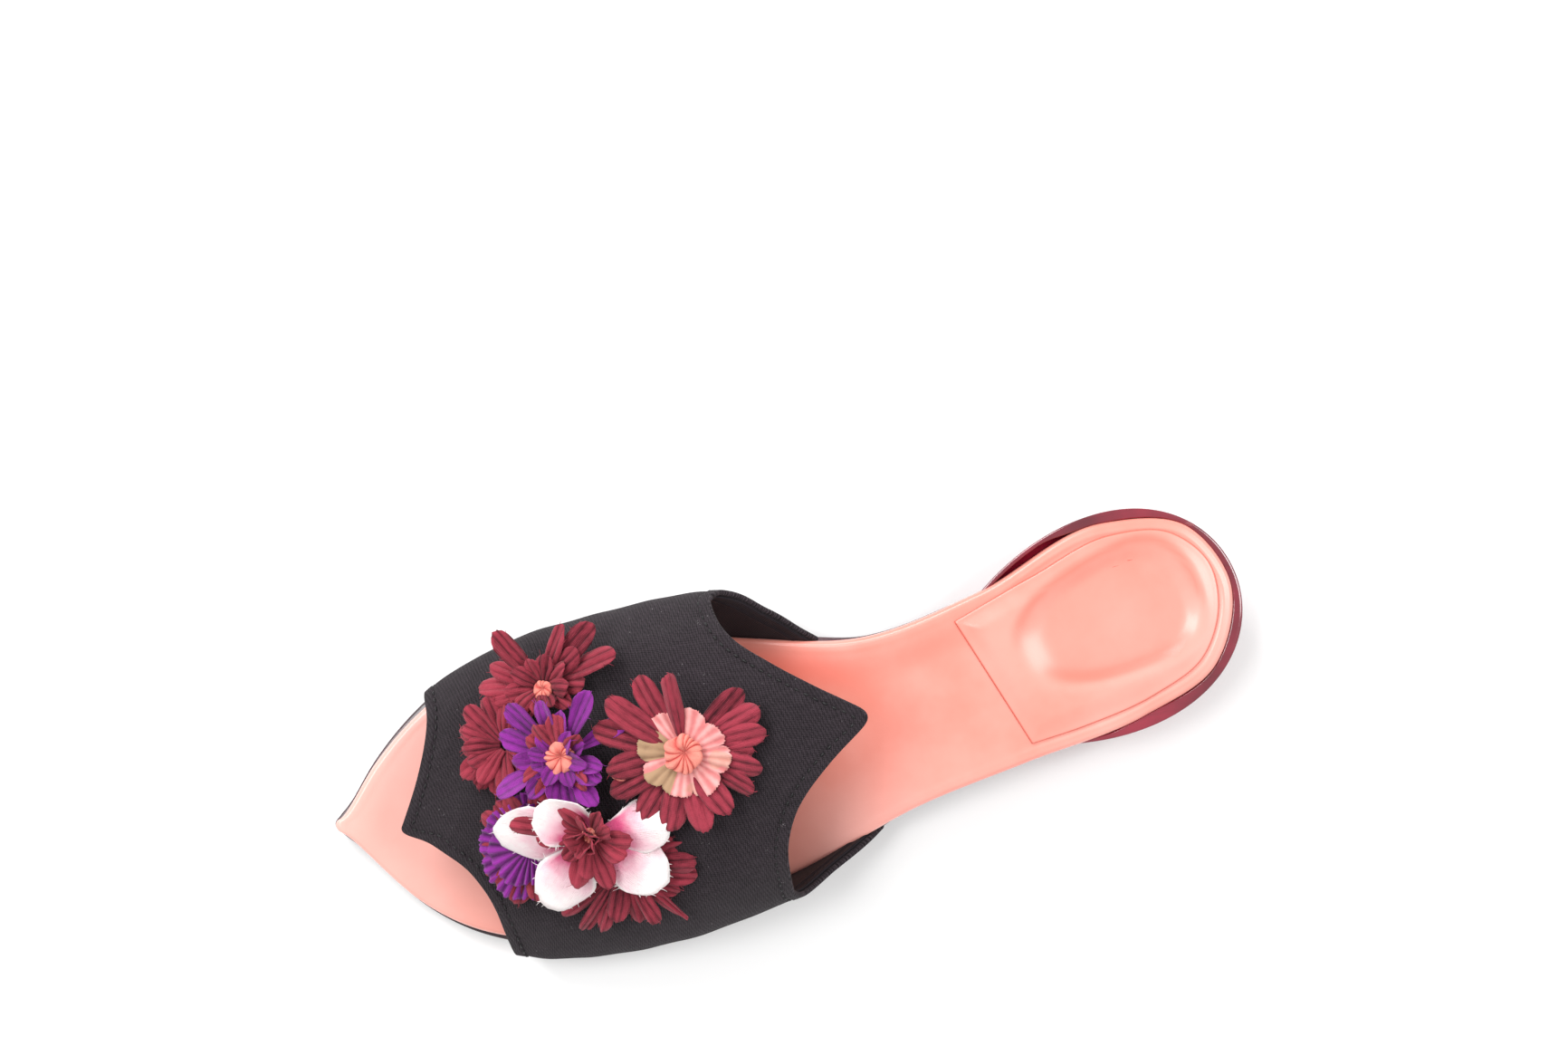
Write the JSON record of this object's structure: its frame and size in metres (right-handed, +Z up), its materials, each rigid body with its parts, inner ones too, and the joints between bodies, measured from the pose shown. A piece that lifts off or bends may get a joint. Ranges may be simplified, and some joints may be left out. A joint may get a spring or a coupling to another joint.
{
  "type": "slip-on mule",
  "caption": "Left slip-on mule with a low lacquered heel, pointed open toe, leather footbed, high cotton vamp and a posy of cloth flowers.",
  "frame": {"origin": "middle of the shoe's box in plan, on the ground", "axes": "+Z up, -X towards the toe, +X towards the heel, +Y towards the inner (medial) side of the foot"},
  "size_m": [0.2574, 0.093, 0.0638],
  "materials": {
    "heel_lacquer": "high-gloss burgundy lacquer on wood",
    "sole_lacquer": "lacquered dark burgundy leather, scuffed at the ball",
    "top_piece_rubber": "matt black moulded rubber",
    "steel": "plain steel",
    "fibreboard": "raw pressed fibreboard",
    "cork": "raw cork composition",
    "foam": "soft latex foam",
    "coral_leather": "smooth coral leather with a pearly finish",
    "black_twill": "matt black cotton twill",
    "interlining": "woven fusible interlining",
    "dark_lining": "dark plum-black lining cloth",
    "burgundy_cloth": "burgundy cloth, cut and frayed",
    "purple_cloth": "purple satin cloth, cut and frayed",
    "blossom_cloth": "white to pink cloth",
    "ruffle_cloth": "salmon pink and tan pleated cloth",
    "coral_cloth": "coral gathered cloth",
    "thread": "black sewing thread"
  },
  "bodies": {
    "root": {"outsole": "sole_lacquer", "heel_block": "heel_lacquer", "heel_top_piece": "top_piece_rubber", "heel_top_piece_pins": "steel", "heel_screw": "steel", "heel_nails": "steel", "shank": "steel", "shank_rivets": "steel", "shank_board": "fibreboard", "forepart_filler": "cork", "insole_board": "fibreboard", "insole_foam": "foam", "insole_cover": "coral_leather", "heel_sock_pad": "foam", "heel_sock": "coral_leather", "vamp_outer": "black_twill", "vamp_interlining": "interlining", "vamp_lining": "dark_lining", "flower_backing": "black_twill", "flower_threads": "thread", "fan_petals": "burgundy_cloth", "carnation_petals": "purple_cloth", "carnation_frill": "purple_cloth", "low_daisy_petals": "burgundy_cloth", "top_flower_petals": "burgundy_cloth", "top_flower_inner": "burgundy_cloth", "purple_petals": "purple_cloth", "purple_inner": "purple_cloth", "daisy_petals": "burgundy_cloth", "daisy_ruffle": "ruffle_cloth", "blossom_flower": "burgundy_cloth", "blossom_petals": "blossom_cloth", "top_flower_button": "coral_cloth", "purple_button": "coral_cloth", "daisy_button": "coral_cloth", "blossom_button": "coral_cloth", "small_button": "coral_cloth"}
  },
  "joints": []
}
